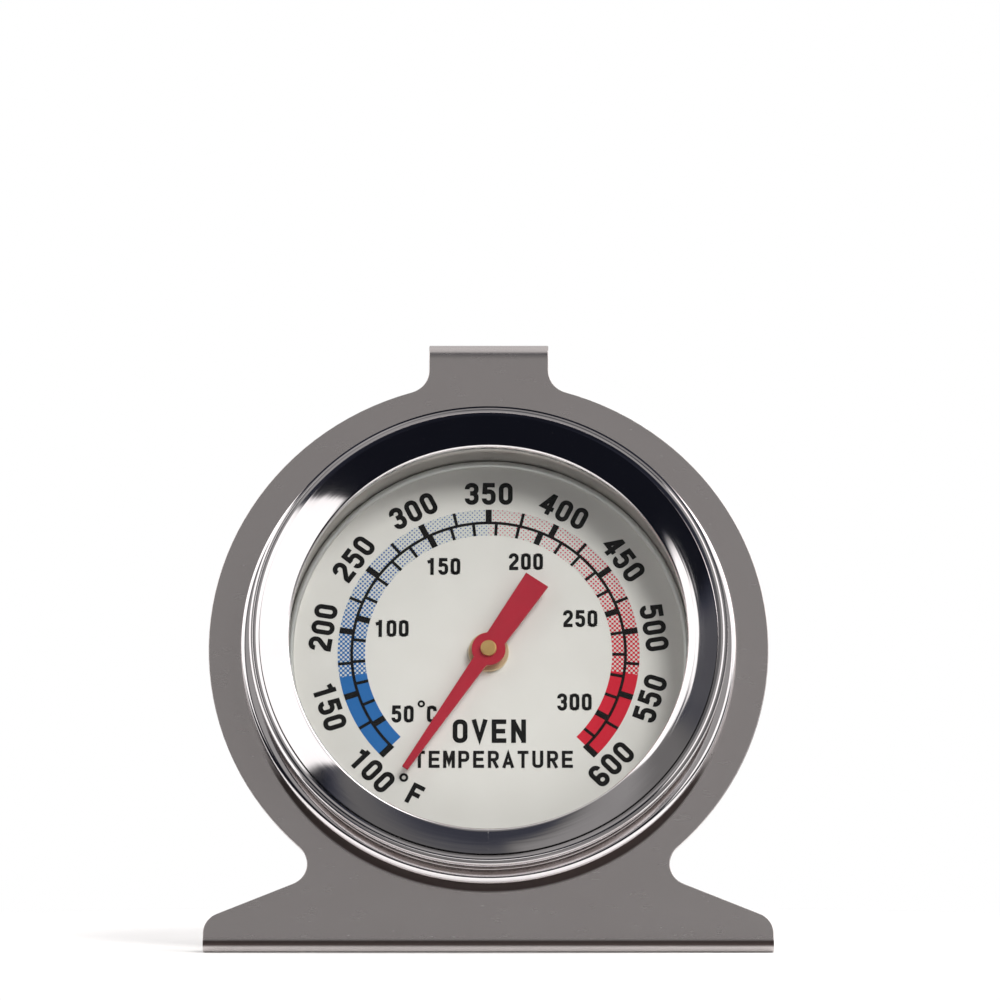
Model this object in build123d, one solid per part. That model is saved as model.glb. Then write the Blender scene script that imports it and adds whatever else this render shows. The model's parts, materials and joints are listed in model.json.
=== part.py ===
from build123d import *
import os
from math import cos, radians, sin, tan

# Oven thermometer: a bimetal dial movement in a crimped steel case, held by a bent sheet stand.
# All lengths are in millimetres.
# Object frame: +Z up, the dial faces -Y, and the origin is the middle of the foot's underside.
# Head frame: +Z out of the dial, +Y up along the plate, with the plate's front face at z = 0.
# Every sub-part is built in the head frame, and HEAD puts it in its place.

# Stand: one bent sheet
lean = 16  # degrees that the plate leans back from upright
stand_sheet = 0.6
plate_radius = 34.5
foot_width = 2 * plate_radius
foot_depth = 35.0
axis_to_foot = 38.9  # from the dial's axis down the plate to the sharp corner at the floor
foot_bend = 0.8  # radii of the bends are those of the sheet's middle
shoulder_height = 4.21  # of the foot's square ends above the sharp corner
shoulder_slope = 22.2  # degrees
tab_width = 15.0
hook_top = 39.9
hook_bend = 2.5
hook_gap = 8.0
hook_lip_bend = 34.0  # where the lip starts to flare
hook_lip_end = 31.8
lip_flare = 25  # degrees
lip_flare_bend = 1.5
waist_round = 2.7
tab_root_round = 3.0
foot_end_round = 2.5
foot_corner_round = 4.0
lip_corner_round = 1.5
bend_overlap = 0.8  # how far a bent strip runs into the flat face

# Case: a can, crimped into the bezel ring
case_sheet = 0.5
can_radius = 25.25  # middle of the sheet
can_floor = -12.25
floor_rise = 0.5
floor_step_outer = 20.0
floor_step_inner = 19.2
flange_edge = 29.75
flange_mid = 0.75
can_bends = [0.5, 1.2, 0.5, 0.5]  # flange, floor corner, and the step's two
plate_hole = 25.65
vent_radius = 1.5
vent_circle = 11.5
vent_count = 6
lock_ring_radius = 28.6
lock_slots = 12
lock_slot_depth = 2.4
lock_slot_width = 1.0
lock_slot_reach = 0.6  # middle of a slot, out from the can's wall

# Bezel ring and window
aperture_wall = 24.65
rim_wall = 29.05
skirt_wall = 28.6
bead_wall = 30.25
cone_slope = 20  # degrees that the bezel's face falls inwards
rim_back = 4.35
skirt_front = 3.9
ring_bends = [0.3, 0.55, 0.3, 0.3, 0.4, 0.49, 0.49]  # from the lip round to the crimp
gasket_cover = 0.15  # gasket's inner edge, in from the middle of the lip's sheet
lip_foot = 3.3
lip_top = 3.881
window_radius = 28.2
window_back = flange_mid + case_sheet / 2
window_front = window_back + 2.0

# Dial and what holds it
dial_radius = 24.9
dial_sheet = 0.5
dial_front = -3.4
dial_back = dial_front - dial_sheet
support_sheet = 0.4
support_wall = 23.4
retainer_wire = 0.4  # radius
retainer_gap = 8  # degrees

# Movement
arbor_radius = 0.6
fit_gap = 0.01
running_gap = 0.05
barrel_radius = 1.6
barrel_end = -7.0
bush_flange = 0.6
bush_flange_radius = 2.5
bracket_sheet = 0.8
bracket_width = 8.0
bracket_arm = 12.6  # middle of the arm's sheet
bracket_arm_end = -11.2
bracket_bend = 1.0
bracket_tail = 8.0
washer_radius = 3.2
washer_sheet = 0.5
washer_play = 0.02
nut_flats = 5.0
nut_height = 1.4
arbor_end = -11.0
arbor_tip = -1.15
groove_depth = 0.1
groove_front = 0.08  # behind the bush's end
groove_back = 0.52
clip_radius = 1.5
clip_front = 0.1
clip_back = 0.5
clip_grip = 0.05  # how far the clip sits in the groove
clip_nip = 0.2  # how much narrower than the arbor its mouth is

# Bimetal coil
strip = 0.35
coil_low = -10.6
coil_high = -8.0
coil_inner = 2.9
coil_turns = 7
tongue_offset = 0.5
tongue_tip = 1.0
tongue_bend = 0.4
tail_tip = 3.8
collet_radius = 2.0
collet_back = 0.3  # beyond the coil
collet_front = 0.2
rivet_radius = 0.5
rivet_head = 0.5
rivet_height = 2.0

# Pointer
pointer_sheet = 0.4
pointer_back = -2.0
hub_radius = 2.1
hub_hole = 0.95
tenon_radius = 0.94
shoulder_radius = 1.5
shoulder_length = 0.5
boss_head_radius = 1.0
boss_head_front = -1.1
boss_head_round = 0.2
thrust_washer_sheet = 0.2
needle_length = 18.4
needle_root = 1.0
needle_tip = 0.4
tail_length = 10.8
tail_root = 1.25
tail_end = 1.65
rest_angle = -146.1  # clockwise from the top of the dial, seen from the front: room temperature

lean_angle = radians(lean)
head_height = axis_to_foot * cos(lean_angle)
head_forward = axis_to_foot * sin(lean_angle) - foot_depth / 2
HEAD = Location((0, head_forward, head_height), (90 - lean, 0, 0))


def ring(inner, outer, low, high):
    """Flat ring about the dial's axis; an inner radius of 0 makes a disc."""
    face = Circle(outer)
    if inner > 0:
        face -= Circle(inner)
    return Pos(0, 0, low) * extrude(face, high - low)


def spun_sheet(points, bend_radii, thickness):
    """Sheet spun about the dial's axis, from its middle line of (radius, z) points."""
    middle = FilletPolyline(*points, radius=bend_radii)
    return revolve(Plane.XZ * trace(middle, thickness), Axis.Z)


def bent_strip(points, bend_radii, thickness, width):
    """Strip bent along a middle line in the head's y and z, and as wide as given along x."""
    middle = FilletPolyline(*points, radius=bend_radii)
    return extrude(Plane.YZ * trace(middle, thickness), width / 2, both=True)


def round_strip_end(part, thickness, radius):
    """Round the two corners at the rearmost end of a bent strip."""
    corners = part.edges().filter_by(lambda edge: abs(edge.length - thickness) < 0.01)
    return fillet(corners.sort_by(Axis.Z)[:2], radius)


def plate_face():
    """Outline of the stand's flat face: a disc on a waisted foot, with the hook's tab on top."""
    bend_start = axis_to_foot - (foot_bend + stand_sheet / 2) * tan(radians(90 + lean) / 2)
    shoulder = shoulder_height - axis_to_foot
    ridge = shoulder + plate_radius * tan(radians(shoulder_slope))
    foot = Polygon(
        (-plate_radius, -bend_start),
        (plate_radius, -bend_start),
        (plate_radius, shoulder),
        (0, ridge),
        (-plate_radius, shoulder),
        align=None,
    )
    tab_end = hook_top - hook_bend
    tab = Pos(0, tab_end / 2) * Rectangle(tab_width, tab_end)
    face = Circle(plate_radius) + foot + tab
    waist = face.vertices().filter_by(lambda point: shoulder + 1 < point.Y < -plate_radius / 2)
    face = fillet(waist, waist_round)
    root = face.vertices().filter_by(lambda point: plate_radius / 2 < point.Y < tab_end - 1)
    face = fillet(root, tab_root_round)
    ends = face.vertices().filter_by(lambda point: abs(point.Y - shoulder) < 0.01)
    return fillet(ends, foot_end_round) - Circle(plate_hole)


def foot_strip():
    """The foot, bent back under the plate until it lies flat on the floor."""
    corner_set = stand_sheet / 2 * tan(radians(90 + lean) / 2)
    corner = Vector(corner_set - axis_to_foot, -stand_sheet / 2)
    along_floor = Vector(sin(lean_angle), -cos(lean_angle))
    end = corner + along_floor * (foot_depth - corner_set)
    start = corner + Vector(foot_bend * tan(radians(90 + lean) / 2) + bend_overlap, 0)
    strip_part = bent_strip([start, corner, end], [foot_bend], stand_sheet, foot_width)
    return round_strip_end(strip_part, stand_sheet, foot_corner_round)


def hook_strip():
    """The hook: the tab bent over backwards, with a lip that flares away from the plate."""
    front = -stand_sheet / 2
    back = -1.5 * stand_sheet - hook_gap
    flare = (hook_lip_bend - hook_lip_end) * tan(radians(lip_flare))
    points = [
        (hook_top - hook_bend - bend_overlap, front),
        (hook_top, front),
        (hook_top, back),
        (hook_lip_bend, back),
        (hook_lip_end, back - flare),
    ]
    strip_part = bent_strip(points, [hook_bend, hook_bend, lip_flare_bend], stand_sheet, tab_width)
    return round_strip_end(strip_part, stand_sheet, lip_corner_round)


def stand_plate():
    """Stand: face, foot and hook in one bent sheet."""
    return extrude(plate_face(), -stand_sheet) + foot_strip() + hook_strip()


def bezel_ring():
    """Polished ring: a falling face, a rolled rim, a skirt, and a bead crimped round the flange."""
    rim_top = lip_top + (rim_wall - aperture_wall) * tan(radians(cone_slope))
    bead_top = flange_mid + case_sheet
    bead_foot = flange_mid - case_sheet
    points = [
        (aperture_wall, lip_foot),
        (aperture_wall, lip_top),
        (rim_wall, rim_top),
        (rim_wall, rim_back),
        (skirt_wall, skirt_front),
        (skirt_wall, bead_top),
        (bead_wall, bead_top),
        (bead_wall, bead_foot),
        (skirt_wall, bead_foot),
    ]
    return spun_sheet(points, ring_bends, case_sheet)


def glass_gasket():
    """Thin ring between the bezel's lip and the window."""
    return ring(aperture_wall - gasket_cover, window_radius, window_front, lip_foot)


def window_glass():
    """Flat round window, clamped between the gasket and the can's flange."""
    return ring(0, window_radius, window_back, window_front)


def case_can():
    """Drawn can: flange, wall, and a floor with a raised middle and vent holes."""
    points = [
        (flange_edge, flange_mid),
        (can_radius, flange_mid),
        (can_radius, can_floor),
        (floor_step_outer, can_floor),
        (floor_step_inner, can_floor + floor_rise),
        (0, can_floor + floor_rise),
    ]
    can = spun_sheet(points, can_bends, case_sheet)
    vent = Pos(0, 0, can_floor) * Cylinder(vent_radius, 4)
    return can - PolarLocations(vent_circle, vent_count) * vent


def stand_lock_ring():
    """Push-on spring ring behind the plate; its tongues grip the can's wall."""
    outer_wall = can_radius + case_sheet / 2
    slot = Pos(outer_wall + lock_slot_reach, 0) * Rectangle(lock_slot_depth, lock_slot_width)
    face = Circle(lock_ring_radius) - Circle(outer_wall + running_gap)
    face -= [Rot(0, 0, 360 / lock_slots * turn) * slot for turn in range(lock_slots)]
    return extrude(Plane((0, 0, -stand_sheet)) * face, -case_sheet)


def dial_support_ring():
    """Angle-section ring that stands on the can's floor and carries the dial."""
    floor_top = can_floor + case_sheet / 2
    wall = ring(support_wall, support_wall + case_sheet, floor_top, dial_back)
    shelf = ring(support_wall, dial_radius, dial_back - support_sheet, dial_back)
    return wall + shelf


def dial_plate():
    """Printed dial disc."""
    return ring(barrel_radius + running_gap, dial_radius, dial_back, dial_front)


def dial_retaining_ring():
    """Split wire ring that springs into the can's mouth and holds the dial down."""
    middle = dial_radius - retainer_wire + running_gap
    section = Pos(middle, dial_front + retainer_wire) * Circle(retainer_wire)
    wire = revolve(Plane.XZ * section, Axis.Z, 360 - retainer_gap)
    return Rot(0, 0, -90 + retainer_gap / 2) * wire


def dial_bush():
    """Brass bush: a flange on the dial, and a barrel that the nut pulls tight from behind."""
    bore = arbor_radius + running_gap
    flange = ring(bore, bush_flange_radius, dial_front, dial_front + bush_flange)
    barrel = ring(bore, barrel_radius, barrel_end, dial_front)
    return flange + barrel


def movement_bracket():
    """Strip behind the dial, with an arm bent back to hold the coil's outer end."""
    middle = dial_back - bracket_sheet / 2
    points = [(-bracket_tail, middle), (bracket_arm, middle), (bracket_arm, bracket_arm_end)]
    section = trace(FilletPolyline(*points, radius=bracket_bend), bracket_sheet)
    strip_part = extrude(Plane.XZ * section, bracket_width / 2, both=True)
    strip_part -= Pos(0, 0, middle) * Cylinder(barrel_radius + running_gap, 2 * bracket_sheet)
    rivet_hole = Rot(0, 90, 0) * Cylinder(rivet_radius + fit_gap, 2 * bracket_sheet)
    return strip_part - Pos(bracket_arm, rivet_height, coil_middle()) * rivet_hole


def bush_washer():
    """Washer between the bracket and the nut."""
    top = dial_back - bracket_sheet
    return ring(barrel_radius + washer_play, washer_radius, top - washer_sheet, top)


def bush_nut():
    """Thin brass hexagon nut on the bush's barrel."""
    top = dial_back - bracket_sheet - washer_sheet
    face = RegularPolygon(nut_flats / 2, 6, major_radius=False) - Circle(barrel_radius)
    return Pos(0, 0, top - nut_height) * extrude(face, nut_height)


def coil_middle():
    """Height of the middle of the coil's strip."""
    return (coil_low + coil_high) / 2


def coil_path():
    """Coil's middle line: a tongue, a spiral of half circles, and a tail flat on the arm."""
    outer_end = bracket_arm - bracket_sheet / 2 - strip / 2
    half_step = (outer_end - coil_inner) / coil_turns / 2
    tongue = FilletPolyline(
        (tongue_tip, -tongue_offset),
        (coil_inner, -tongue_offset),
        (coil_inner, 0),
        radius=tongue_bend,
    )
    path = [tongue]
    start = coil_inner
    side = 1
    for half_turn in range(2 * coil_turns):
        end = start + half_step
        radius = (start + end) / 2
        centre = side * (start - end) / 2
        path.append(ThreePointArc((side * start, 0), (centre, side * radius), (-side * end, 0)))
        start = end
        side = -side
    path.append(Line((outer_end, 0), (outer_end, tail_tip)))
    return path


def bimetal_coil():
    """Flat spiral of bimetal strip, with a hole in its tail for the rivet."""
    faces = [trace(piece, strip) for piece in coil_path()]
    spiral = Pos(0, 0, coil_low) * extrude(Sketch() + faces, coil_high - coil_low)
    tail_wall = bracket_arm - bracket_sheet / 2 - strip / 2
    hole = Rot(0, 90, 0) * Cylinder(rivet_radius + fit_gap, 2 * strip)
    return spiral - Pos(tail_wall, rivet_height, coil_middle()) * hole


def coil_anchor_rivet():
    """Rivet through the coil's tail and the bracket's arm, with a head at each end."""
    outer_face = bracket_arm + bracket_sheet / 2
    inner_face = bracket_arm - bracket_sheet / 2 - strip
    length = outer_face - inner_face
    shank = Cylinder(rivet_radius, length + 2 * rivet_head)
    head = Cylinder(2 * rivet_radius, rivet_head)
    heads = [Pos(0, 0, side * (length + rivet_head) / 2) * head for side in (-1, 1)]
    place = Pos((outer_face + inner_face) / 2, rivet_height, coil_middle())
    return place * Rot(0, 90, 0) * (shank + heads)


def arbor():
    """Spindle, with a groove for its clip."""
    shaft = ring(0, arbor_radius, arbor_end, arbor_tip)
    low = barrel_end - groove_back
    high = barrel_end - groove_front
    return shaft - ring(arbor_radius - groove_depth, 2 * arbor_radius, low, high)


def arbor_clip():
    """Open clip in the arbor's groove, just behind the bush."""
    low = barrel_end - clip_back
    clip = ring(arbor_radius - clip_grip, clip_radius, low, barrel_end - clip_front)
    mouth = Pos(clip_radius, 0, low) * Box(2 * clip_radius, 2 * arbor_radius - clip_nip, 2)
    return clip - mouth


def coil_collet():
    """Brass hub on the arbor, slotted for the coil's tongue."""
    low = coil_low - collet_back
    high = coil_high + collet_front
    hub = ring(arbor_radius + fit_gap, collet_radius, low, high)
    slot = Box(collet_radius, strip + 2 * running_gap, 2 * (high - low))
    slot_end = tongue_tip - 2 * running_gap
    place = Pos(slot_end + collet_radius / 2, -tongue_offset, coil_middle())
    return hub - place * slot


def thrust_washer():
    """Thin washer between the bush and the pointer's boss."""
    low = dial_front + bush_flange + running_gap
    return ring(arbor_radius + running_gap, shoulder_radius, low, low + thrust_washer_sheet)


def pointer_boss():
    """Brass boss: a shoulder under the pointer, a tenon through it, and a riveted head on top."""
    bore = arbor_radius + fit_gap
    pointer_front = pointer_back + pointer_sheet
    shoulder = ring(bore, shoulder_radius, pointer_back - shoulder_length, pointer_back)
    tenon = ring(bore, tenon_radius, pointer_back, pointer_front)
    head = ring(0, boss_head_radius, pointer_front, boss_head_front)
    head -= ring(0, bore, pointer_back, arbor_tip + fit_gap)
    rim = head.edges().filter_by(GeomType.CIRCLE).sort_by(Axis.Z)[-1]
    return shoulder + tenon + fillet(rim, boss_head_round)


def pointer():
    """Needle, hub and flared counterweight tail, cut from one sheet."""
    needle = Polygon(
        (-needle_root, 0),
        (needle_root, 0),
        (needle_tip, needle_length),
        (-needle_tip, needle_length),
        align=None,
    )
    tail = Polygon(
        (-tail_root, 0),
        (-tail_end, -tail_length),
        (tail_end, -tail_length),
        (tail_root, 0),
        align=None,
    )
    face = Circle(hub_radius) + needle + tail - Circle(hub_hole)
    return Rot(0, 0, -rest_angle) * Pos(0, 0, pointer_back) * extrude(face, pointer_sheet)


sub_parts = [
    stand_plate,
    bezel_ring,
    glass_gasket,
    window_glass,
    case_can,
    stand_lock_ring,
    dial_support_ring,
    dial_plate,
    dial_retaining_ring,
    dial_bush,
    movement_bracket,
    bush_washer,
    bush_nut,
    bimetal_coil,
    coil_anchor_rivet,
    arbor,
    arbor_clip,
    coil_collet,
    thrust_washer,
    pointer_boss,
    pointer,
]

os.makedirs("parts", exist_ok=True)
for sub_part in sub_parts:
    export_step(HEAD * sub_part(), f"parts/{sub_part.__name__}.step")
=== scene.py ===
import json
from math import ceil, cos, degrees, pi, radians, sin, tan

import bmesh
import bpy
from mathutils import Matrix, Vector


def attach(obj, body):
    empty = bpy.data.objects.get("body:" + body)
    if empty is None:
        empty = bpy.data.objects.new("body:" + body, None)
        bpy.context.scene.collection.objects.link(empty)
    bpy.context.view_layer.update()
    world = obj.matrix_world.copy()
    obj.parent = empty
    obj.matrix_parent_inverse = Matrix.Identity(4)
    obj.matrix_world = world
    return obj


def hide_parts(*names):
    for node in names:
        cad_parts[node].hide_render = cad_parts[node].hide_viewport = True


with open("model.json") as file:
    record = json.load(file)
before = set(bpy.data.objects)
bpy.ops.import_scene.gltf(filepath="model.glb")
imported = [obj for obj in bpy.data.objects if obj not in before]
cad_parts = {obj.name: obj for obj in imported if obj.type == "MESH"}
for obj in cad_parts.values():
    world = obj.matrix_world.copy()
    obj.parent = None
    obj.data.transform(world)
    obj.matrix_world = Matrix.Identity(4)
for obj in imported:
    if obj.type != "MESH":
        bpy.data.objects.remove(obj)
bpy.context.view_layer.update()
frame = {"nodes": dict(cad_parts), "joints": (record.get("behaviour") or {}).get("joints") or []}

# An oven thermometer, finished round its CAD frame.
# Head frame, in millimetres: x to the right, y up along the plate, z out of the dial.
# The plain materials that come with the frame give way to the finishes made below.
for material in list(bpy.data.materials):
    bpy.data.materials.remove(material)
MM = 0.001
swing = frame["joints"][0]
hub = Vector(swing["pos_m"])
inward = Vector(swing["axis"]).normalized()
right = Vector((1, 0, 0))
up = inward.cross(right) * -1
HEAD = Matrix.Translation(hub) @ Matrix((right, up, -inward)).transposed().to_4x4()
HEAD = HEAD @ Matrix.Scale(MM, 4)
TO_HEAD = HEAD.inverted()
lean_turn = HEAD.to_euler().x


def turned_size(node):
    """Inner and outer radius, low and high of a CAD node about the dial's axis, in the head frame."""
    points = [TO_HEAD @ corner.co for corner in frame["nodes"][node].data.vertices]
    radii = [point.xy.length for point in points]
    heights = [point.z for point in points]
    return min(radii), max(radii), min(heights), max(heights)


# Shader and geometry nodes


class Reading:
    """An output socket. Arithmetic on it adds Math nodes to its tree."""

    def __init__(self, tree, socket):
        self.tree = tree
        self.socket = socket

    def math(self, operation, *values):
        settings = {"operation": operation}
        return add_node(self.tree, "ShaderNodeMath", settings, dict(enumerate(values)))

    def __add__(self, other):
        return self.math("ADD", self, other)

    def __sub__(self, other):
        return self.math("SUBTRACT", self, other)

    def __rsub__(self, other):
        return self.math("SUBTRACT", other, self)

    def __mul__(self, other):
        return self.math("MULTIPLY", self, other)

    def __gt__(self, other):
        return self.math("GREATER_THAN", self, other)

    def __lt__(self, other):
        return self.math("LESS_THAN", self, other)

    __radd__ = __add__
    __rmul__ = __mul__

    def between(self, start, end):
        """0 below start, 1 above end, and smooth between them."""
        settings = {"interpolation_type": "SMOOTHSTEP"}
        return add_node(self.tree, "ShaderNodeMapRange", settings, {0: self, 1: start, 2: end})


def add_node(tree, kind, settings=None, inputs=None, output=0):
    """Adds a node, gives it its settings, then the values or Readings of its sockets."""
    node = tree.nodes.new(kind)
    for name, value in (settings or {}).items():
        setattr(node, name, value)
    for key, value in (inputs or {}).items():
        if isinstance(value, Reading):
            tree.links.new(value.socket, node.inputs[key])
        else:
            node.inputs[key].default_value = value
    return Reading(tree, node.outputs[output]) if node.outputs else None


class Finish:
    """A material whose pattern lies in the head frame, in millimetres."""

    def __init__(self, name):
        self.material = bpy.data.materials.new(name)
        self.material.use_nodes = True
        self.tree = self.material.node_tree
        self.tree.nodes.clear()
        place = self.node("ShaderNodeTexCoord", output="Object")
        self.place = self.node(
            "ShaderNodeMapping",
            {"vector_type": "TEXTURE"},
            {0: place, "Location": hub, "Rotation": (lean_turn, 0, 0), "Scale": (MM, MM, MM)},
        )
        parts = add_node(self.tree, "ShaderNodeSeparateXYZ", inputs={0: self.place}).socket.node
        self.x, self.y, self.z = (Reading(self.tree, socket) for socket in parts.outputs)

    def node(self, kind, settings=None, inputs=None, output=0):
        return add_node(self.tree, kind, settings, inputs, output)

    def stretched(self, x, y, z):
        """The place, with each direction scaled."""
        return self.node("ShaderNodeVectorMath", {"operation": "MULTIPLY"}, {0: self.place, 1: (x, y, z)})

    def joined(self, x, y, z):
        return self.node("ShaderNodeCombineXYZ", inputs={0: x, 1: y, 2: z})

    def noise(self, place, scale=1.0, detail=3.0, roughness=0.55):
        inputs = {"Vector": place, "Scale": scale, "Detail": detail, "Roughness": roughness}
        return self.node("ShaderNodeTexNoise", inputs=inputs)

    def colour_mix(self, share, first, second):
        """First colour where share is 0, second where it is 1."""
        inputs = {0: share, 6: first, 7: second}
        return self.node("ShaderNodeMix", {"data_type": "RGBA"}, inputs, output=2)

    def radius(self):
        """Distance from the dial's axis."""
        flat = self.stretched(1, 1, 0)
        return self.node("ShaderNodeVectorMath", {"operation": "LENGTH"}, {0: flat}, "Value")

    def clock(self):
        """Angle from the top of the dial, clockwise, in degrees."""
        turn = self.x.math("ARCTAN2", self.x, self.y)
        return turn * degrees(1)

    def bump(self, height, depth, strength=1.0):
        """Normal with a relief whose full depth is given in millimetres."""
        inputs = {"Strength": strength, "Distance": depth * MM, "Height": height}
        return self.node("ShaderNodeBump", inputs=inputs)

    def surface(self, **sockets):
        """Principled surface; underscores stand for the spaces in socket names."""
        inputs = {name.replace("_", " "): value for name, value in sockets.items()}
        shader = self.node("ShaderNodeBsdfPrincipled", inputs=inputs)
        return self.show(shader)

    def show(self, shader):
        self.node("ShaderNodeOutputMaterial", inputs={0: shader})
        return self.material


def rgb(red, green, blue):
    """Linear colour from screen values out of 255."""
    channels = [value / 255 for value in (red, green, blue)]
    linear = [c / 12.92 if c <= 0.04045 else ((c + 0.055) / 1.055) ** 2.4 for c in channels]
    return (*linear, 1)


# Finishes


def satin_steel():
    """Stainless sheet with a fine rolled grain across it and faint cloudy patches. A painted contact shadow
    darkens the plate just under the lower side of the ring's bead, and a painted dark line along the fold
    of the foot stands in for the dark reflection there."""
    finish = Finish("satin_steel")
    grain = finish.noise(finish.stretched(0.3, 5, 5), detail=2, roughness=0.6)
    cloud = finish.noise(finish.place, 0.11, detail=3)
    smudge = finish.noise(finish.stretched(1, 1.6, 1), 0.35, detail=2)
    unshaded_tone = finish.colour_mix(cloud, rgb(197, 191, 190), rgb(203, 198, 197))
    # painted contact shadow: the plate just outside the bead is painted dark brown, on the lower side of
    # the ring only
    down = finish.y * -1
    low_side = down.between(14, 27)
    near_bead = 1 - finish.radius().between(30.75 + low_side * 0.4, 30.95 + low_side * 0.6)
    under_bead = near_bead * down.between(13, 18) * (finish.z > -0.1)
    # painted dark reflection: a dark line across the front of the foot's fold, where the fold mirrors the
    # dark horizon
    at_fold = finish.y.between(-38.2, -37.85) * (1 - finish.y.between(-37.5, -37.1))
    fold = at_fold * (finish.z > -0.8)
    painted_shade = under_bead + fold
    # the painted shade colour, for both painted marks
    tone = finish.colour_mix(painted_shade * 0.93, unshaded_tone, rgb(58, 45, 42))
    rough = 0.21 + grain * 0.05 + smudge * 0.05 + painted_shade * 0.2
    relief = finish.bump(grain, 0.002, 0.03)
    return finish.surface(Base_Color=tone, Metallic=1, Roughness=rough, Normal=relief)


def polished_steel():
    """Spun and buffed stainless. Turning marks run round the ring, and the groove behind the rim carries
    painted shade: darker brown and rougher."""
    finish = Finish("polished_steel")
    radius = finish.radius()
    turn = finish.clock()
    coarse = finish.noise(finish.joined(radius * 1.7, turn * 0.035, finish.z), detail=1.5)
    fine = finish.noise(finish.joined(radius * 7, turn * 0.02, finish.z * 4), detail=2)
    haze = finish.noise(finish.place, 0.16, detail=3)
    # painted shade of the recess: the groove under the rim and outside the skirt is painted dark brown
    outside_skirt = radius.between(28.3, 28.5) * (1 - radius.between(29.0, 29.4))
    below_rim = finish.z.between(1.2, 1.7) * (1 - finish.z.between(4.1, 4.6))
    groove = outside_skirt * below_rim
    buffed = finish.colour_mix(haze, rgb(222, 218, 219), rgb(236, 233, 234))
    tone = finish.colour_mix(groove * (0.6 + haze * 0.5), buffed, rgb(88, 74, 68))
    rough = 0.035 + haze * 0.04 + fine * 0.03 + groove * 0.12
    relief = finish.bump(coarse + fine * 0.06, 0.009)
    return finish.surface(Base_Color=tone, Metallic=1, Roughness=rough, Normal=relief)


def drawn_steel():
    """Deep-drawn can: faint lines along the draw and a heat tint."""
    finish = Finish("drawn_steel")
    turn = finish.clock()
    lines = finish.noise(finish.joined(turn * 0.9, finish.z * 0.25, finish.radius() * 0.4), detail=4)
    cloud = finish.noise(finish.place, 0.14, detail=3)
    tone = finish.colour_mix(cloud, rgb(190, 185, 180), rgb(206, 203, 201))
    rough = 0.4 + lines * 0.16
    relief = finish.bump(lines, 0.006, 0.3)
    return finish.surface(Base_Color=tone, Metallic=1, Roughness=rough, Normal=relief)


def plain_metal(name, dark, light, roughness, grain_size=3.0, metallic=1.0):
    """Small metal parts: a speckled tone and a slightly uneven polish."""
    finish = Finish(name)
    speckle = finish.noise(finish.place, grain_size, detail=4, roughness=0.65)
    cloud = finish.noise(finish.place, 0.6, detail=2)
    tone = finish.colour_mix(cloud, dark, light)
    relief = finish.bump(speckle, 0.006, 0.4)
    return finish.surface(
        Base_Color=tone, Metallic=metallic, Roughness=roughness + speckle * 0.12, Normal=relief
    )


def gasket_rubber():
    """Black rubber, slightly mottled."""
    finish = Finish("gasket")
    speckle = finish.noise(finish.place, 4, detail=3)
    tone = finish.colour_mix(speckle, rgb(22, 22, 23), rgb(40, 39, 39))
    return finish.surface(Base_Color=tone, Roughness=0.6 + speckle * 0.2, Normal=finish.bump(speckle, 0.02))


def clear_glass():
    """Flat window: see-through, with a mirror that grows towards grazing."""
    finish = Finish("glass")
    clear = finish.node("ShaderNodeBsdfTransparent", inputs={"Color": (0.97, 0.98, 0.975, 1)})
    mirror = finish.node("ShaderNodeBsdfGlossy", inputs={"Roughness": 0.02})
    facing = finish.node("ShaderNodeLayerWeight", inputs={"Blend": 0.5}, output="Facing")
    head_on = 0.012  # share of the mirror where the window is looked at straight
    edge = head_on + facing.math("POWER", facing, 5) * 0.9
    shader = finish.node("ShaderNodeMixShader", inputs={0: edge, 1: clear, 2: mirror})
    return finish.show(shader)


def dial_paint():
    """Silver-white satin dial, with a barely visible grain and faint blotches."""
    finish = Finish("dial_print")
    grain = finish.noise(finish.place, 7, detail=4, roughness=0.7)
    blotch = finish.noise(finish.place, 0.22, detail=3)
    tone = finish.colour_mix(blotch, rgb(230, 226, 222), rgb(240, 236, 233))
    rough = 0.42 + grain * 0.12
    return finish.surface(Base_Color=tone, Roughness=rough, Normal=finish.bump(grain, 0.004, 0.5))


def ink(name, colour):
    """Printed ink: nearly flat colour, a little uneven where it soaks the grain."""
    finish = Finish(name)
    speckle = finish.noise(finish.place, 9, detail=3)
    darker = tuple(0.8 * channel for channel in colour[:3]) + (1,)
    tone = finish.colour_mix(speckle, darker, colour)
    return finish.surface(Base_Color=tone, Roughness=0.5 + speckle * 0.15, Specular_IOR_Level=0.25)


FAHRENHEIT_TURN = 0.54  # degrees of dial for a degree Fahrenheit
TOP_FAHRENHEIT = 350


def dial_turn(fahrenheit):
    """Degrees clockwise from the top of the dial."""
    return (fahrenheit - TOP_FAHRENHEIT) * FAHRENHEIT_TURN


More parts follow.
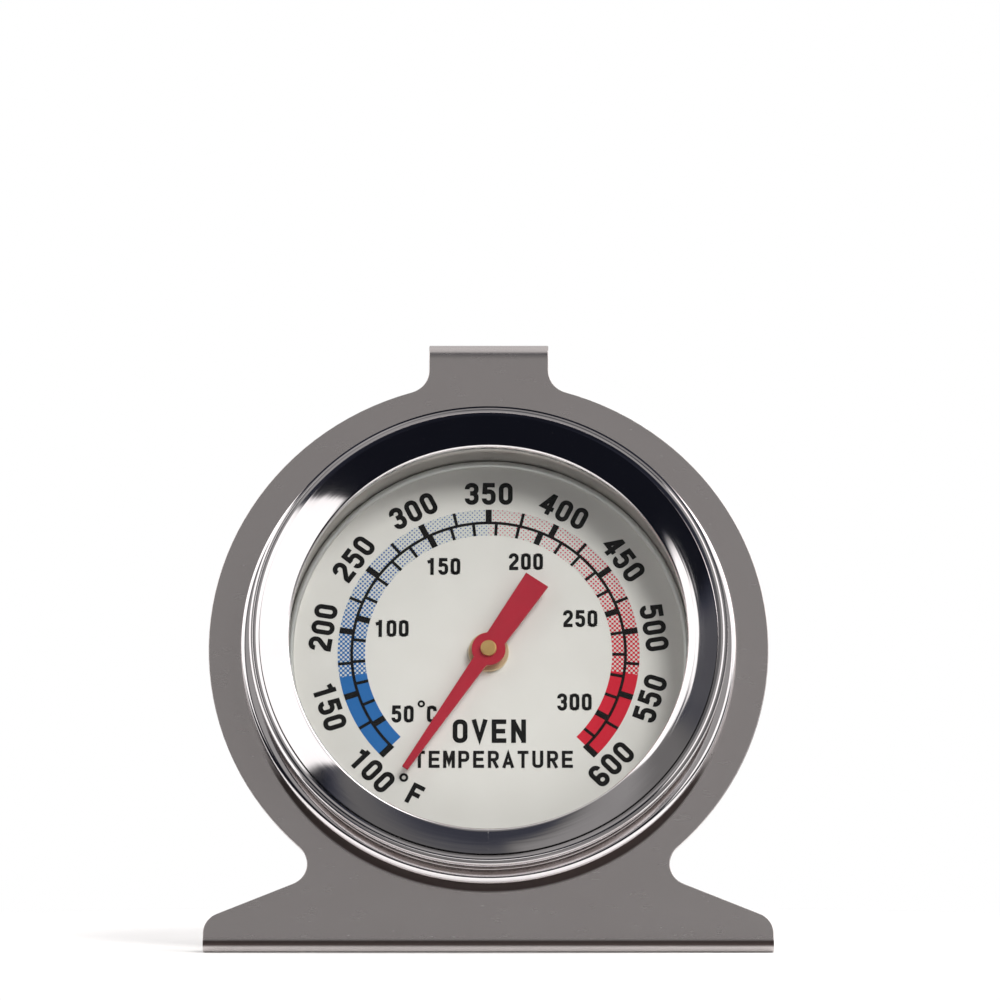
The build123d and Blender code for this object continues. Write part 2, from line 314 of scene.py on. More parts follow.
def band_ink():
    """The two coloured bands: solid at the ends, then dots that thin out towards the top."""
    finish = Finish("band_ink")
    pitch = 0.41  # between two rows of dots, which run at 45 degrees
    wave = 2 * pi / pitch / 2**0.5
    turn = finish.clock()
    across = (finish.x + finish.y) * wave
    along = (finish.x - finish.y) * wave
    screen = (across.math("COSINE", across) + along.math("COSINE", along)) * 0.5
    cold_end = dial_turn(165)
    hot_end = dial_turn(533)
    share = 1 - turn.between(cold_end, dial_turn(350)) + turn.between(dial_turn(350), hot_end)
    dots = screen > (0.62 - share * 0.72)
    solid = (turn < cold_end) + (turn > hot_end)
    inked = dots.math("MAXIMUM", dots, solid)
    grain = finish.noise(finish.place, 7, detail=3)
    pale = turn.between(dial_turn(280), dial_turn(200))
    blue = finish.colour_mix(pale, rgb(84, 112, 176), rgb(36, 108, 180))
    faded = 1 - turn.between(dial_turn(400), dial_turn(500))
    red = finish.colour_mix(faded, rgb(214, 26, 52), rgb(214, 84, 108))
    colour = finish.colour_mix(turn > 0, blue, red)
    tone = finish.colour_mix(inked, rgb(220, 220, 216), colour)
    return finish.surface(Base_Color=tone, Roughness=0.4 + grain * 0.12)


def red_enamel():
    """Baked red paint of the pointer, a little orange-peeled."""
    finish = Finish("pointer_red")
    speckle = finish.noise(finish.place, 5, detail=4, roughness=0.6)
    cloud = finish.noise(finish.place, 0.5, detail=2)
    tone = finish.colour_mix(cloud, rgb(168, 28, 48), rgb(186, 35, 57))
    relief = finish.bump(speckle, 0.01, 0.5)
    return finish.surface(
        Base_Color=tone, Roughness=0.36 + speckle * 0.12, Normal=relief, Coat_Weight=0.15
    )


finishes = {
    "satin_steel": satin_steel(),
    "polished_steel": polished_steel(),
    "drawn_steel": drawn_steel(),
    "spring_steel": plain_metal("spring_steel", rgb(150, 150, 152), rgb(176, 176, 178), 0.34),
    "tinned_wire": plain_metal("tinned_wire", rgb(226, 226, 224), rgb(238, 238, 236), 0.55),
    "plated_steel": plain_metal("plated_steel", rgb(176, 176, 170), rgb(198, 198, 194), 0.3),
    "gasket": gasket_rubber(),
    "glass": clear_glass(),
    "dial_print": dial_paint(),
    "aluminium": plain_metal("aluminium", rgb(196, 197, 199), rgb(214, 215, 216), 0.34),
    "brass": plain_metal(
        "brass", rgb(214, 168, 104), rgb(232, 192, 130), 0.26, grain_size=5, metallic=0.62
    ),
    "pale_brass": plain_metal(
        "pale_brass", rgb(228, 200, 156), rgb(240, 216, 178), 0.3, grain_size=5, metallic=0.5
    ),
    "dull_brass": plain_metal(
        "dull_brass", rgb(150, 114, 58), rgb(172, 134, 76), 0.4, grain_size=5, metallic=0.62
    ),
    "bimetal": plain_metal("bimetal", rgb(150, 140, 124), rgb(186, 172, 150), 0.22, grain_size=2),
    "pointer_red": red_enamel(),
    "black_ink": ink("black_ink", rgb(15, 13, 14)),
    "band_ink": band_ink(),
}

# Shapes

DEGREES_A_STEP = 7  # of a rounded corner
CAD_CREASE = radians(35)  # edges sharper than this stay crisp
TURNED_CREASE = radians(40)
FILM_CREASE = radians(30)


def rounded_path(corners, closed=False):
    """Path through (x, y, radius) corners, each rounded to its radius."""
    path = []
    for index, (x, y, radius) in enumerate(corners):
        here = Vector((x, y))
        end = not closed and index in (0, len(corners) - 1)
        if end or radius == 0:
            path.append(here)
            continue
        before = (Vector(corners[index - 1][:2]) - here).normalized()
        after = (Vector(corners[(index + 1) % len(corners)][:2]) - here).normalized()
        half_corner = before.angle(after) / 2
        centre = here + (before + after).normalized() * (radius / sin(half_corner))
        spoke = here + before * (radius / tan(half_corner)) - centre
        turn = pi - 2 * half_corner
        sense = 1 if after.cross(before) > 0 else -1
        steps = max(2, ceil(degrees(turn) / DEGREES_A_STEP))
        for step in range(steps + 1):
            path.append(centre + Matrix.Rotation(sense * turn * step / steps, 2) @ spoke)
    return path


def side_line(path, distance, closed=False):
    """The path moved to its left by a distance, with mitred corners."""
    sharpest_mitre = 0.35
    line = []
    for index, here in enumerate(path):
        before = here - path[index - 1]
        after = path[(index + 1) % len(path)] - here
        if not closed and index == 0:
            before = after
        if not closed and index == len(path) - 1:
            after = before
        middle = (before.normalized() + after.normalized()).normalized()
        left = Vector((-middle.y, middle.x))
        share = max(sharpest_mitre, left.dot(Vector((-after.y, after.x)).normalized()))
        line.append(here + left * (distance / share))
    return line


def new_object(name, data):
    """Object in the scene's own collection."""
    piece = bpy.data.objects.new(name, data)
    bpy.context.scene.collection.objects.link(piece)
    return piece


def mark_sharp(mesh, limit):
    """Smooth faces, with edges sharper than the limit left crisp."""
    shape = bmesh.new()
    shape.from_mesh(mesh)
    for face in shape.faces:
        face.smooth = True
        face.material_index = 0
    for edge in shape.edges:
        edge.smooth = len(edge.link_faces) == 2 and edge.calc_face_angle() < limit
    shape.to_mesh(mesh)
    shape.free()


def turning_tree():
    """Sweeps the profile that it is given round the dial's axis."""
    tree = bpy.data.node_groups.new("turned_piece", "GeometryNodeTree")
    sockets = tree.interface
    sockets.new_socket("Profile", in_out="INPUT", socket_type="NodeSocketGeometry")
    sockets.new_socket("Turning Radius", in_out="INPUT", socket_type="NodeSocketFloat")
    sockets.new_socket("Facets", in_out="INPUT", socket_type="NodeSocketInt")
    sockets.new_socket("Finish", in_out="INPUT", socket_type="NodeSocketMaterial")
    sockets.new_socket("Piece", in_out="OUTPUT", socket_type="NodeSocketGeometry")
    given = tree.nodes.new("NodeGroupInput").outputs
    profile, radius, facets, finish = (Reading(tree, socket) for socket in given[:4])
    round_axis = {"Resolution": facets, "Radius": radius}
    path = add_node(tree, "GeometryNodeCurvePrimitiveCircle", inputs=round_axis)
    swept = add_node(tree, "GeometryNodeCurveToMesh", inputs={"Curve": path, "Profile Curve": profile})
    real = add_node(tree, "GeometryNodeRealizeInstances", inputs={0: swept})
    coated = add_node(tree, "GeometryNodeSetMaterial", inputs={"Geometry": real, "Material": finish})
    add_node_output(tree, coated)
    return tree


def add_node_output(tree, geometry):
    """Ends a geometry tree."""
    output = tree.nodes.new("NodeGroupOutput")
    tree.links.new(geometry.socket, output.inputs[0])


def run_tree(piece, tree, values):
    """Runs a geometry tree on a piece with its inputs set by name, and returns the plain mesh."""
    modifier = piece.modifiers.new("making", "NODES")
    modifier.node_group = tree
    for item in tree.interface.items_tree:
        if item.in_out == "INPUT" and item.name in values:
            modifier[item.identifier] = values[item.name]
    depsgraph = bpy.context.evaluated_depsgraph_get()
    mesh = bpy.data.meshes.new_from_object(piece.evaluated_get(depsgraph), depsgraph=depsgraph)
    bpy.data.objects.remove(piece)
    return mesh


turned_tree = turning_tree()


def turned(name, outline, finish, facets):
    """Piece turned about the dial's axis from a closed outline of (radius, height) points."""
    base = 10.0  # radius of the circle that carries the profile
    curve = bpy.data.curves.new(name + "_profile", "CURVE")
    spline = curve.splines.new("POLY")
    spline.points.add(len(outline) - 1)
    for point, (radius, height) in zip(spline.points, outline):
        point.co = (radius - base, -height, 0, 1)
    spline.use_cyclic_u = True
    values = {"Turning Radius": base, "Facets": facets, "Finish": finishes[finish]}
    mesh = run_tree(new_object(name + "_profile", curve), turned_tree, values)
    return placed(name, mesh, TURNED_CREASE)


def placed(name, mesh, sharp_limit):
    """Object of a mesh drawn in the head frame, put in its place."""
    shape = bmesh.new()
    shape.from_mesh(mesh)
    bmesh.ops.remove_doubles(shape, verts=shape.verts, dist=1e-4)
    loose = [edge for edge in shape.edges if not edge.link_faces]
    bmesh.ops.delete(shape, geom=loose, context="EDGES")
    bmesh.ops.recalc_face_normals(shape, faces=shape.faces)
    shape.to_mesh(mesh)
    shape.free()
    mesh.transform(HEAD)
    mark_sharp(mesh, sharp_limit)
    mesh.name = name
    return new_object(name, mesh)


def sheet_outline(middle, thickness):
    """Closed outline of a sheet from its middle line, with rounded raw edges."""
    left = side_line(middle, thickness / 2)
    other = side_line(middle, -thickness / 2)
    first = [middle[0], (middle[0] - middle[1]).normalized() * thickness / 2]
    last = [middle[-1], (middle[-1] - middle[-2]).normalized() * thickness / 2]
    caps = []
    for end, spoke in (last, first):
        turns = (radians(turn) for turn in range(60, -61, -30))
        caps.append([end + Matrix.Rotation(turn, 2) @ spoke for turn in turns])
    return left + caps[0] + other[::-1] + caps[1]


def finished_copy(node, finish, edge, body="case", slot=None):
    """Copy of a CAD node with its triangles merged, its edges softened and a finish on it."""
    mesh = frame["nodes"][node].data.copy()
    mesh.materials.clear()
    mesh.materials.append(finishes[finish])
    shape = bmesh.new()
    shape.from_mesh(mesh)
    bmesh.ops.remove_doubles(shape, verts=shape.verts, dist=1e-6)
    bmesh.ops.dissolve_limit(shape, angle_limit=radians(0.5), verts=shape.verts, edges=shape.edges)
    shape.to_mesh(mesh)
    shape.free()
    mark_sharp(mesh, CAD_CREASE)
    piece = new_object(node + "_finished", mesh)
    if edge:
        bevel = piece.modifiers.new("softened_edges", "BEVEL")
        bevel.width = edge * MM
        bevel.segments = 2
        bevel.limit_method = "ANGLE"
        bevel.angle_limit = CAD_CREASE
        bevel.harden_normals = True
    return settle(piece, body, slot or finish, node)


def settle(piece, body, slot, *nodes):
    """Rides a finished piece on its body, and hides the CAD nodes that it stands in for."""
    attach(piece, body)
    if nodes:
        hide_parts(*nodes)
    return piece


# Front ring, window and gasket


def bowed(start, pull, end, steps=9):
    """Points of a bowed line from start to end, pulled towards a third point."""
    shares = [step / steps for step in range(steps + 1)]
    return [start * (1 - t) ** 2 + pull * 2 * t * (1 - t) + end * t**2 for t in shares]


inner, outer, low, high = turned_size("bezel_ring")
sheet = 0.5
lip = inner + sheet / 2  # the ring's line is the middle of its sheet
bead = outer - sheet / 2
skirt = 28.6
rim = 29.05
lip_wall = 0.581
face_rise = 1.601
rim_drop = 1.13
skirt_drop = 1.58
lip_round = 0.26
rim_round = 0.5
skirt_round = 0.3
bead_round = 0.49
lip_foot = turned_size("glass_gasket")[3]
face_foot = Vector((lip, lip_foot + lip_wall))
face_top = Vector((rim, face_foot.y + face_rise))
face_pull = Vector((lip + 2.13, face_foot.y + 0.98))
face = [(*point, 0) for point in bowed(face_foot, face_pull, face_top)[1:-1]]
bead_top = low + sheet * 2.5
bead_foot = low + sheet / 2
ring_line = rounded_path(
    [(lip, lip_foot, 0), (*face_foot, lip_round)]
    + face
    + [(*face_top, rim_round), (rim, face_top.y - rim_drop, skirt_round)]
    + [(skirt, face_top.y - skirt_drop, skirt_round), (skirt, bead_top, 0.4)]
    + [(bead, bead_top, bead_round), (bead, bead_foot, bead_round), (skirt, bead_foot, 0)]
)
bezel = turned("polished_bezel", sheet_outline(ring_line, sheet), "polished_steel", 360)
settle(bezel, "case", "polished_steel", "bezel_ring")

inner, outer, low, high = turned_size("window_glass")
arris = 0.2
window_line = [(0, low), (outer - arris, low), (outer, low + arris), (outer, high - arris)]
window_line += [(outer - arris, high), (0, high)]
window = turned("front_window", window_line, "glass", 180)
settle(window, "case", "glass", "window_glass")

inner, outer, low, high = turned_size("glass_gasket")
soft = 0.1
gasket_corners = [(inner, low), (outer, low), (outer, high), (inner, high)]
gasket_line = rounded_path([(*corner, soft) for corner in gasket_corners], True)
gasket = turned("window_gasket", gasket_line, "gasket", 180)
settle(gasket, "case", "gasket", "glass_gasket")

# Stand, can and dial

STAMPED_EDGE = 0.06
finished_copy("stand_plate", "satin_steel", 0.1)
finished_copy("case_can", "drawn_steel", STAMPED_EDGE)
finished_copy("stand_lock_ring", "spring_steel", STAMPED_EDGE)
finished_copy("dial_plate", "dial_print", STAMPED_EDGE)
finished_copy("dial_retaining_ring", "tinned_wire", 0, slot="spring_steel")
finished_copy("dial_bush", "pale_brass", STAMPED_EDGE, slot="brass")
finished_copy("pointer", "pointer_red", STAMPED_EDGE, "pointer_arbor")
finished_copy("pointer_boss", "brass", 0.12, "pointer_arbor")
finished_copy("arbor", "dull_brass", 0.08, "pointer_arbor", "plated_steel")

inner_finishes = {
    "dial_support_ring": "aluminium",
    "movement_bracket": "plated_steel",
    "bush_washer": "plated_steel",
    "bush_nut": "brass",
    "bimetal_coil": "bimetal",
    "coil_anchor_rivet": "aluminium",
    "arbor_clip": "spring_steel",
    "coil_collet": "brass",
    "thrust_washer": "brass",
}
for node, finish in inner_finishes.items():
    mesh = frame["nodes"][node].data
    mesh.materials.clear()
    mesh.materials.append(finishes[finish])

# Dial print: thin closed films on the dial's face

dial_front = turned_size("dial_plate")[3]
film_low = dial_front - 0.02
band_top = dial_front + 0.015
print_top = dial_front + 0.035
arc_radius = 16.96
band_inside = 15.3
band_outside = 18.7


def marks_tree():
    """Bars set round the dial: equal steps of turn from a first one."""
    tree = bpy.data.node_groups.new("scale_marks", "GeometryNodeTree")
    sockets = tree.interface
    names = ["Marks", "First Turn", "Step", "Inner Radius", "Outer Radius", "Width", "Low", "High", "Ink"]
    for name in names:
        kind = {"Marks": "Int", "Ink": "Material"}.get(name, "Float")
        sockets.new_socket(name, in_out="INPUT", socket_type="NodeSocket" + kind)
    sockets.new_socket("Piece", in_out="OUTPUT", socket_type="NodeSocketGeometry")
    given = tree.nodes.new("NodeGroupInput").outputs
    marks, first, step, inside, outside, width, bottom, top, ink_given = (
        Reading(tree, socket) for socket in given[:9]
    )
    size = add_node(tree, "ShaderNodeCombineXYZ", inputs={0: width, 1: outside - inside, 2: top - bottom})
    middle = add_node(
        tree, "ShaderNodeCombineXYZ", inputs={1: (outside + inside) * 0.5, 2: (top + bottom) * 0.5}
    )
    bar = add_node(tree, "GeometryNodeMeshCube", inputs={"Size": size})
    moved = add_node(tree, "GeometryNodeTransform", inputs={"Geometry": bar, "Translation": middle})
    points = add_node(tree, "GeometryNodePoints", inputs={"Count": marks})
    index = add_node(tree, "GeometryNodeInputIndex")
    turn = add_node(tree, "ShaderNodeCombineXYZ", inputs={2: (first + index * step) * -radians(1)})
    set_round = add_node(
        tree, "GeometryNodeInstanceOnPoints", inputs={"Points": points, "Instance": moved, "Rotation": turn}
    )
    real = add_node(tree, "GeometryNodeRealizeInstances", inputs={0: set_round})
    coated = add_node(tree, "GeometryNodeSetMaterial", inputs={"Geometry": real, "Material": ink_given})
    add_node_output(tree, coated)
    return tree


marks = marks_tree()


def row_of_marks(count, first, step, inside, outside, width):
    """Mesh of a row of marks on the dial."""
    values = {
        "Marks": count,
        "First Turn": dial_turn(first),
        "Step": step * FAHRENHEIT_TURN,
        "Inner Radius": inside,
        "Outer Radius": outside,
        "Width": width,
        "Low": film_low,
        "High": print_top,
        "Ink": finishes["black_ink"],
    }
    return run_tree(new_object("marks", bpy.data.meshes.new("marks")), marks, values)


def film_shape(strokes):
    """Mesh of flat strokes. Each is (left edge, right edge, top height), closed into a ring or not."""
    shape = bmesh.new()
    for left, other, top, ring in strokes:
        rails = [
            [shape.verts.new((point.x, point.y, height)) for point in side]
            for side, height in ((left, top), (other, top), (other, film_low), (left, film_low))
        ]
        count = len(left)
        for index in range(count if ring else count - 1):
            after = (index + 1) % count
            for rail, following in zip(rails, rails[1:] + rails[:1]):
                shape.faces.new((rail[index], following[index], following[after], rail[after]))
        if not ring:
            shape.faces.new([rail[0] for rail in rails])
            shape.faces.new([rail[-1] for rail in rails])
    mesh = bpy.data.meshes.new("film")
    shape.to_mesh(mesh)
    shape.free()
    return mesh


def arc(radius, first, last, step=1.0):
    """Points of an arc about the dial's axis, between two turns from its top."""
    count = ceil((last - first) / step)
    turns = [radians(first + (last - first) * index / count) for index in range(count + 1)]
    return [Vector((radius * sin(turn), radius * cos(turn))) for turn in turns]


def joined(name, finish, meshes):
    """One object from several meshes drawn in the head frame."""
    shape = bmesh.new()
    for mesh in meshes:
        shape.from_mesh(mesh)
    whole = bpy.data.meshes.new(name)
    shape.to_mesh(whole)
    shape.free()
    whole.materials.append(finishes[finish])
    return placed(name, whole, FILM_CREASE)


first_turn = dial_turn(100)
last_turn = dial_turn(600)
edges = [arc(radius, first_turn, last_turn) for radius in (band_inside, arc_radius, band_outside)]
bands = [(outside, inside, band_top, False) for inside, outside in zip(edges, edges[1:])]
settle(joined("scale_bands", "band_ink", [film_shape(bands)]), "case", "dial_print")

CELSIUS_STEP = 1.8  # degrees Fahrenheit
FREEZING = 32
fifty = 50 * CELSIUS_STEP
broad = 0.76
narrow = 0.38
rows = [
    row_of_marks(11, 100, 50, arc_radius, band_outside, broad),
    row_of_marks(10, 125, 50, arc_radius, band_outside, narrow),
    row_of_marks(6, FREEZING + fifty, fifty, band_inside, arc_radius, broad),
]
for celsius, count in ((60, 6), (70, 5), (80, 5), (90, 5)):
    fahrenheit = FREEZING + celsius * CELSIUS_STEP
    rows.append(row_of_marks(count, fahrenheit, fifty, band_inside, arc_radius, narrow))
half_line = 0.18
overshoot = 1.3  # of the line past the first and last marks, in degrees of dial
line_ends = (first_turn - overshoot, last_turn + overshoot)
line_edges = [arc(arc_radius + side, *line_ends) for side in (half_line, -half_line)]
arc_top = print_top - 0.004  # a hair under the marks, so that the two films don't share a face
rows.append(film_shape([(*line_edges, arc_top, False)]))
settle(joined("scale_marks", "black_ink", rows), "case", "dial_print")

# Lettering. A character is strokes of corners (x, y, rounding), in stroke widths, in a box 2.9 by 5.2.

BOX = Vector((2.9, 5.2))
ROUND = 0.95
SNUG = 0.98  # share of each rounding that is used, so that two on one side don't meet
LAYER = 0.003  # between the strokes of one character, so that crossing films don't share a face
LOOP = "loop"
bowl = [(0.5, 0.5, ROUND), (2.4, 0.5, ROUND), (2.4, 4.7, ROUND), (0.5, 4.7, ROUND), LOOP]
characters = {
    "0": [bowl],
    "1": [[(1.75, 0, 0), (1.75, 5.2, 0)], [(0.4, 3.95, 0), (1.75, 4.3, 0)]],
    "2": [
        [(0.5, 3.6, 0), (0.5, 4.7, 0.9), (2.4, 4.7, 0.9), (2.4, 3.1, 0.8)]
        + [(0.6, 1.1, 0.4), (0.6, 0.5, 0), (2.8, 0.5, 0)]
    ],
    "3": [
        [(0.5, 3.7, 0), (0.5, 4.7, 0.9), (2.4, 4.7, 0.9), (2.4, 2.7, 0.9), (1.1, 2.7, 0)],
        [(1.1, 2.7, 0), (2.4, 2.7, 0.9), (2.4, 0.5, 0.9), (0.5, 0.5, 0.9), (0.5, 1.5, 0)],
    ],
    "4": [[(1.95, 0, 0), (1.95, 5.2, 0)], [(1.85, 5.0, 0), (0.45, 1.6, 0), (2.9, 1.6, 0)]],
    "5": [
        [(2.7, 4.7, 0), (0.7, 4.7, 0), (0.6, 2.5, 0)],
        [(0.6, 2.8, 0), (0.9, 3.15, 0.3), (2.4, 3.15, 0.9), (2.4, 0.5, 0.9)]
        + [(0.5, 0.5, 0.9), (0.5, 1.5, 0)],
    ],
    "6": [
        [(0.5, 0.5, 0.9), (2.4, 0.5, 0.9), (2.4, 2.5, 0.9), (0.5, 2.5, 0.9), LOOP],
        [(0.5, 1.6, 0), (0.5, 4.7, 0.9), (2.4, 4.7, 0.9), (2.4, 3.75, 0)],
    ],
    "C": [
        [(2.4, 3.5, 0), (2.4, 4.7, ROUND), (0.5, 4.7, ROUND)]
        + [(0.5, 0.5, ROUND), (2.4, 0.5, ROUND), (2.4, 1.7, 0)]
    ],
    "F": [[(0.5, 0, 0), (0.5, 4.7, 0), (2.8, 4.7, 0)], [(0.5, 2.6, 0), (2.5, 2.6, 0)]],
    "O": [bowl],
    "V": [[(0.35, 5.2, 0), (1.45, 0.9, 0), (2.55, 5.2, 0)]],
    "E": [[(2.8, 4.7, 0), (0.5, 4.7, 0), (0.5, 0.5, 0), (2.8, 0.5, 0)], [(0.5, 2.6, 0), (2.6, 2.6, 0)]],
    "N": [[(0.5, 0, 0), (0.5, 5.2, 0)], [(2.4, 0, 0), (2.4, 5.2, 0)], [(0.5, 4.7, 0), (2.4, 0.5, 0)]],
    "T": [[(0.1, 4.7, 0), (2.8, 4.7, 0)], [(1.45, 0, 0), (1.45, 4.7, 0)]],
    "M": [
        [(0.4, 0, 0), (0.4, 5.2, 0)],
        [(2.5, 0, 0), (2.5, 5.2, 0)],
        [(0.5, 5.0, 0), (1.45, 1.6, 0), (2.4, 5.0, 0)],
    ],
    "P": [[(0.5, 0, 0), (0.5, 4.7, 0), (2.4, 4.7, ROUND), (2.4, 2.3, ROUND), (0.5, 2.3, 0)]],
    "R": [
        [(0.5, 0, 0), (0.5, 4.7, 0), (2.4, 4.7, ROUND), (2.4, 2.5, ROUND), (0.5, 2.5, 0)],
        [(1.4, 2.5, 0), (2.45, 0, 0)],
    ],
    "A": [[(0.35, 0, 0), (1.45, 4.3, 0), (2.55, 0, 0)], [(0.6, 1.4, 0), (2.3, 1.4, 0)]],
    "U": [[(0.5, 5.2, 0), (0.5, 0.5, ROUND), (2.4, 0.5, ROUND), (2.4, 5.2, 0)]],
}


def lettering(text, centre, turn, pitch, width, height, stroke):
    """Strokes of a line of characters, centred on a point of the dial and turned clockwise."""
    spin = Matrix.Rotation(-radians(turn), 2)
    strokes = []
    for index, character in enumerate(text):
        shift = Vector(((index - (len(text) - 1) / 2) * pitch, 0))
        for layer, corners in enumerate(characters[character]):
            ring = corners[-1] == LOOP
            sized = [
                (width * (x / BOX.x - 0.5), height * (y / BOX.y - 0.5), rounding * stroke * SNUG)
                for x, y, rounding in (corners[:-1] if ring else corners)
            ]
            path = rounded_path(sized, ring)
            sides = [side_line(path, half, ring) for half in (stroke / 2, -stroke / 2)]
            left, other = ([centre + spin @ (point + shift) for point in side] for side in sides)
            strokes.append((left, other, print_top - LAYER * layer, ring))
    return strokes


def degree_sign(centre, radius=0.4, stroke=0.3):
    """Strokes of a small ring."""
    turns = [radians(index * 15) for index in range(24)]
    left, other = (
        [centre + Vector((cos(turn), sin(turn))) * size for turn in turns]
        for size in (radius + stroke / 2, radius - stroke / 2)
    )
    return [(left, other, print_top, True)]


def on_dial(radius, turn):
    """Point of the dial at a radius, turned clockwise from the top."""
    return Vector((radius * sin(radians(turn)), radius * cos(radians(turn))))


# Pitch, width, height and stroke of each kind of lettering
OUTER_NUMBERS = (2.13, 1.75, 2.85, 0.59)
OUTER_UNIT = (0, 1.65, 2.7, 0.55)
INNER_NUMBERS = (1.52, 1.2, 2.2, 0.43)
FIRST_WORD = (2.4, 1.9, 3.0, 0.58)
SECOND_WORD = (1.82, 1.45, 2.2, 0.4)

number_radius = 20.8
lower_nudge = 1.5  # degrees that the numbers of the lower half stand back from their marks
numerals = []
for fahrenheit in range(100, 601, 50):
    turn = dial_turn(fahrenheit)
    lower_half = abs(turn) > 91
    place = on_dial(number_radius, turn - lower_nudge * lower_half)
    numerals += lettering(str(fahrenheit), place, turn + 180 * lower_half, *OUTER_NUMBERS)
numerals += degree_sign(on_dial(19.1, -147))
numerals += lettering("F", on_dial(20.3, -153.7), 27, *OUTER_UNIT)
celsius_places = {
    "50": (-10.6, -7.9),
    "100": (-12.05, 3.15),
    "150": (-5.66, 11.24),
    "200": (4.64, 11.87),
    "250": (11.37, 4.43),
    "300": (10.6, -6.36),
    "C": (-7.0, -7.9),
}
for text, place in celsius_places.items():
    numerals += lettering(text, Vector(place), 0, *INNER_NUMBERS)
numerals += degree_sign(Vector((-8.3, -6.6)), 0.33, 0.26)
numerals += lettering("OVEN", Vector((0.1, -10.1)), 0, *FIRST_WORD)
numerals += lettering("TEMPERATURE", Vector((0.6, -13.7)), 0, *SECOND_WORD)
settle(joined("dial_lettering", "black_ink", [film_shape(numerals)]), "case", "dial_print")

# Floor, light and camera

FLOOR_RADIUS = 0.24
FADE_START = 0.06
FADE_END = 0.15


def pale_floor():
    """Near-white floor that fades out before it reaches its edge."""
    finish = Finish("pale_floor")
    away = finish.node("ShaderNodeTexCoord", output="Object")
    reach = finish.node("ShaderNodeVectorMath", {"operation": "LENGTH"}, {0: away}, "Value")
    speckle = finish.noise(finish.place, 0.5)
    tone = finish.colour_mix(speckle, (0.86, 0.86, 0.86, 1), (0.9, 0.9, 0.9, 1))
    paper = finish.node("ShaderNodeBsdfDiffuse", inputs={"Color": tone})
    clear = finish.node("ShaderNodeBsdfTransparent")
    fade = reach.between(FADE_START, FADE_END)
    return finish.show(finish.node("ShaderNodeMixShader", inputs={0: fade, 1: paper, 2: clear}))


floor_mesh = bpy.data.meshes.new("floor")
floor_shape = bmesh.new()
bmesh.ops.create_circle(floor_shape, cap_ends=True, segments=96, radius=FLOOR_RADIUS)
floor_shape.to_mesh(floor_mesh)
floor_shape.free()
floor_mesh.materials.append(pale_floor())
new_object("floor", floor_mesh)


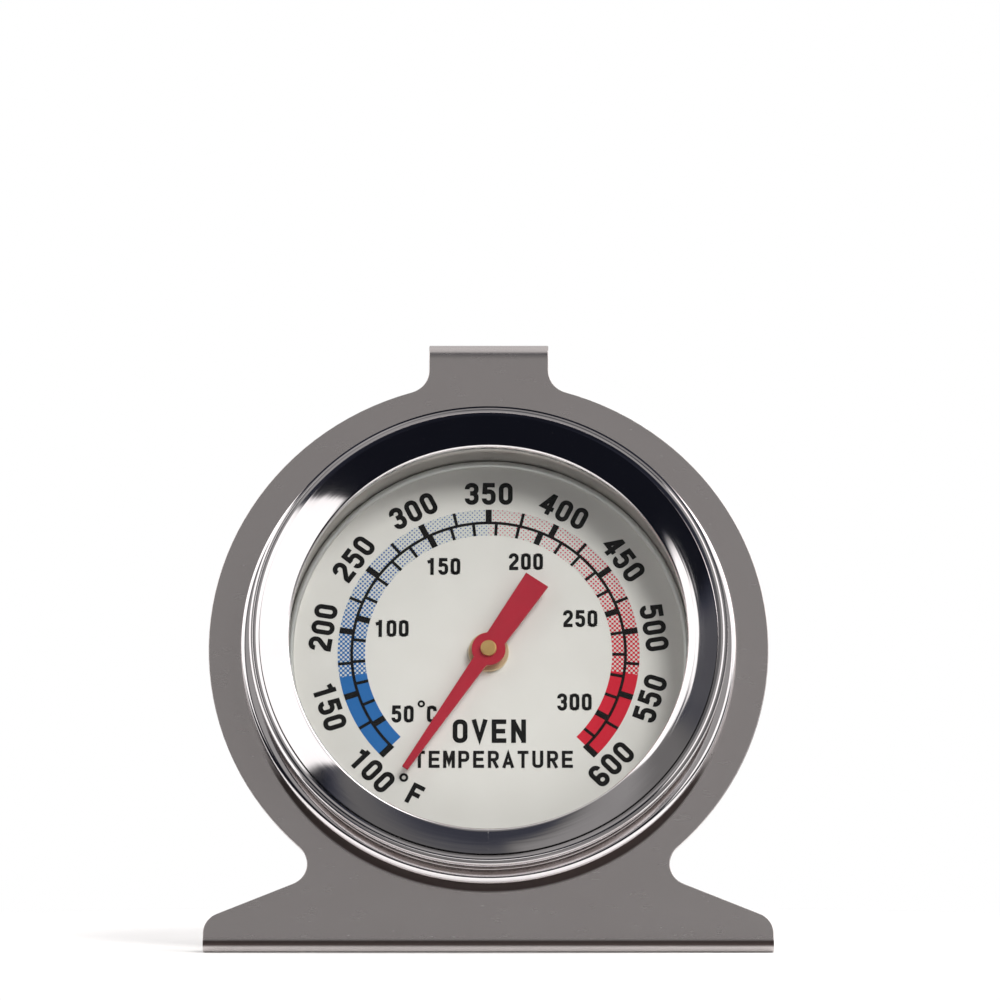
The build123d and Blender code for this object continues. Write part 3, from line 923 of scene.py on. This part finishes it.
def studio():
    """Room round the object, by direction: azimuth from the front, positive to the right, and
    elevation. The camera itself sees plain white."""
    world = bpy.data.worlds.new("studio")
    bpy.context.scene.world = world
    world.use_nodes = True
    tree = world.node_tree
    tree.nodes.clear()
    looking = add_node(tree, "ShaderNodeTexCoord", output="Generated")
    parts = add_node(tree, "ShaderNodeSeparateXYZ", inputs={0: looking}).socket.node
    x, y, z = (Reading(tree, socket) for socket in parts.outputs)
    azimuth = x.math("ARCTAN2", x, y * -1) * degrees(1)
    elevation = z.math("ARCSINE", z) * degrees(1)

    def within(angle, start, end, soft):
        """1 between two angles, 0 outside, with soft edges."""
        return angle.between(start - soft, start + soft) * (1 - angle.between(end - soft, end + soft))

    def panel(left, far_right, bottom, top, soft):
        """1 inside a panel of directions, 0 outside, with soft edges."""
        return within(azimuth, left, far_right, soft) * within(elevation, bottom, top, soft)

    # Angles are in degrees. The last factor of each light is its brightness.
    beneath = 17 - elevation
    key_left = azimuth - beneath.math("MAXIMUM", beneath, 0) * 0.5
    key_top = elevation - azimuth * 0.27
    key_shape = key_left.between(22.7, 24.2) * (1 - key_top.between(40, 41.5))
    key = key_shape * panel(0, 60, 0, 66, 3) * 1.35
    right_side = panel(66, 125, 14, 76, 7) * 2.4
    left_edge = azimuth * -1 - (elevation - 28) * 0.45
    left_side = left_edge.between(45, 47.5) * panel(-125, -30, 11, 58, 3) * 1.4
    left_top = panel(-75, -8, 45, 70, 4) * 0.16
    left_grey = panel(-50, -22, 25, 44, 4) * 0.09
    behind = y.between(-0.2, -0.02) * 0.72
    fill_x = azimuth * 0.83
    fill_y = elevation - 35
    square = fill_x * fill_x + fill_y * fill_y
    away = square.math("SQRT", square)
    fill = (1 - away.between(9, 31)) * 0.345
    ceiling = elevation.between(52, 60) * (0.13 - elevation.between(60, 76) * 0.08)
    darkest = 0.012
    light = key + right_side + left_side + left_top + left_grey + behind + fill + ceiling + darkest
    tints = {0: light.between(0, 0.16), 6: (0.55, 0.62, 1, 1), 7: (1, 0.98, 0.975, 1)}
    colour = add_node(tree, "ShaderNodeMix", {"data_type": "RGBA"}, tints, output=2)
    room = add_node(tree, "ShaderNodeBackground", inputs={"Color": colour, "Strength": light})
    white = add_node(tree, "ShaderNodeBackground", inputs={"Color": (1, 1, 1, 1), "Strength": 1.0})
    camera_ray = add_node(tree, "ShaderNodeLightPath", output="Is Camera Ray")
    both = add_node(tree, "ShaderNodeMixShader", inputs={0: camera_ray, 1: room, 2: white})
    add_node(tree, "ShaderNodeOutputWorld", inputs={0: both})


studio()

LAMP_FROM_HUB = Vector((0.372, -0.644, 0.669))
lamp = bpy.data.lights.new("soft_key", "AREA")
lamp.shape = "DISK"
lamp.size = 0.42
lamp.energy = 6.1
lamp.color = (1, 0.985, 0.96)
key_lamp = new_object("soft_key", lamp)
key_lamp.location = hub + LAMP_FROM_HUB
key_lamp.rotation_euler = (hub - key_lamp.location).to_track_quat("-Z", "Y").to_euler()
key_lamp.visible_camera = False
key_lamp.visible_glossy = False

CAMERA_PITCH = 2.847  # degrees above level
lens = bpy.data.cameras.new("camera")
lens.sensor_width = 36
lens.lens = 175.23
camera = new_object("camera", lens)
camera.location = (0.00141, -0.60657, 0.02541)
camera.rotation_euler = (radians(90 + CAMERA_PITCH), 0, 0)
bpy.context.scene.camera = camera
bpy.context.scene.view_settings.view_transform = "Standard"
